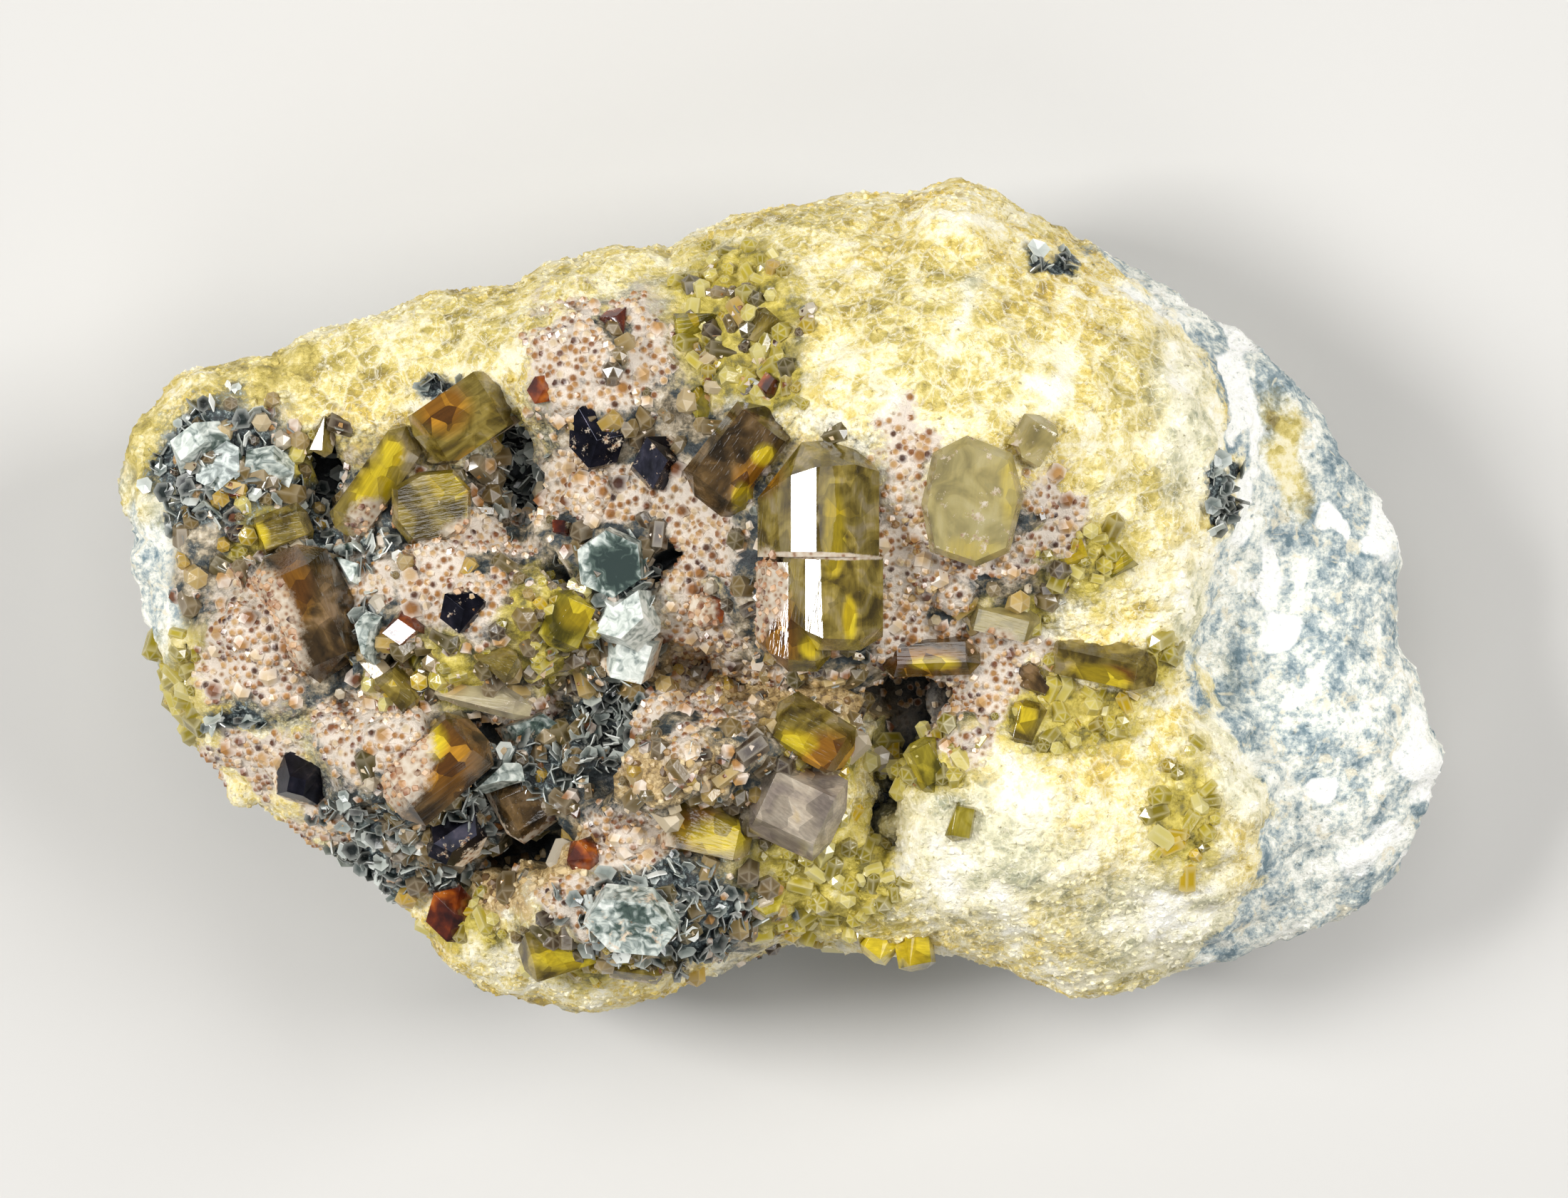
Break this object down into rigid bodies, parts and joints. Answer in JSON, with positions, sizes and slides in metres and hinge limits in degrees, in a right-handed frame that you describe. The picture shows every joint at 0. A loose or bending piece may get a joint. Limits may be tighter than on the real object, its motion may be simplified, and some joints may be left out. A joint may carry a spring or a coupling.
{
  "type": "epidote with magnetite on matrix",
  "caption": "Loose rock specimen lying on its flat broken back, the upper face set with prismatic, tabular, equant and platy crystals.",
  "frame": {"origin": "on the resting plane, under the middle of the lump's outline", "axes": "+X along the lump's length, to the right of the crystal face; +Y up that face as pictured; +Z out of the crystal face, up from the surface it rests on"},
  "size_m": [0.0501, 0.0312, 0.0188],
  "materials": {
    "rock": "rough broken rock with a sugary garnet crust",
    "epidote": "clear olive crystal faces, vitreous",
    "epidote_brown": "dark brown striated crystal faces, vitreous",
    "epidote_grey": "grey striated crystal faces, dull vitreous",
    "epidote_yellow": "yellow-green crystal faces, vitreous",
    "magnetite": "black crystal faces, metallic lustre",
    "garnet": "red-brown crystal faces, vitreous",
    "chlorite": "pale grey-green plates, pearly"
  },
  "bodies": {
    "root": {"rock": "rock", "epidote_main": "epidote", "epidote_dark_striated": "epidote_brown", "epidote_table_right": "epidote", "epidote_beside_table": "epidote", "epidote_prism_right": "epidote", "epidote_dark_bar": "epidote_brown", "epidote_dark_chip": "epidote_brown", "epidote_chunk_right": "epidote", "epidote_grey_striated": "epidote_grey", "epidote_olive_behind_grey": "epidote", "epidote_amber_middle": "epidote", "epidote_amber_lower_left": "epidote_brown", "epidote_olive_groove": "epidote_brown", "epidote_brown_left": "epidote_brown", "epidote_blade_left": "epidote", "epidote_round_left": "epidote", "epidote_pointed_upper_left": "epidote", "epidote_olive_left": "epidote", "epidote_stick": "epidote_grey", "epidote_amber_small": "epidote", "epidote_yellow_middle": "epidote_yellow", "epidote_olive_middle": "epidote", "epidote_olive_lower_rim": "epidote", "epidote_olive_lower_rim_small": "epidote", "epidote_rim_pair": "epidote_yellow", "epidote_yellow_chip_lower": "epidote_yellow", "epidote_yellow_by_crack": "epidote_yellow", "epidote_yellow_below_crack": "epidote_yellow", "epidote_olive_right": "epidote", "epidote_yellow_right_upper": "epidote_yellow", "epidote_yellow_right_lower": "epidote_yellow", "epidote_green_top": "epidote", "epidote_yellow_above_main": "epidote_yellow", "epidote_yellow_top": "epidote_yellow", "epidote_glint_left": "epidote", "magnetite_hexagon": "magnetite", "magnetite_box": "magnetite", "magnetite_middle": "magnetite", "magnetite_lower_left": "magnetite", "magnetite_groove": "magnetite", "garnet_brown_left": "garnet", "garnet_orange_left": "garnet", "garnet_glint_middle": "garnet", "garnet_lower_rim": "garnet", "garnet_brown_lower": "garnet", "garnet_by_main": "garnet", "garnet_top": "garnet", "garnet_upper_left": "garnet", "garnet_purple_top": "garnet", "garnet_orange_middle": "garnet", "chlorite_green_disc": "chlorite", "chlorite_pale_book": "chlorite", "chlorite_roundel": "chlorite", "chlorite_dish": "chlorite", "chlorite_curl": "chlorite", "chlorite_curl_upper": "chlorite", "chlorite_flakes_left": "chlorite", "chlorite_grey_green_rim": "chlorite"}
  },
  "joints": []
}
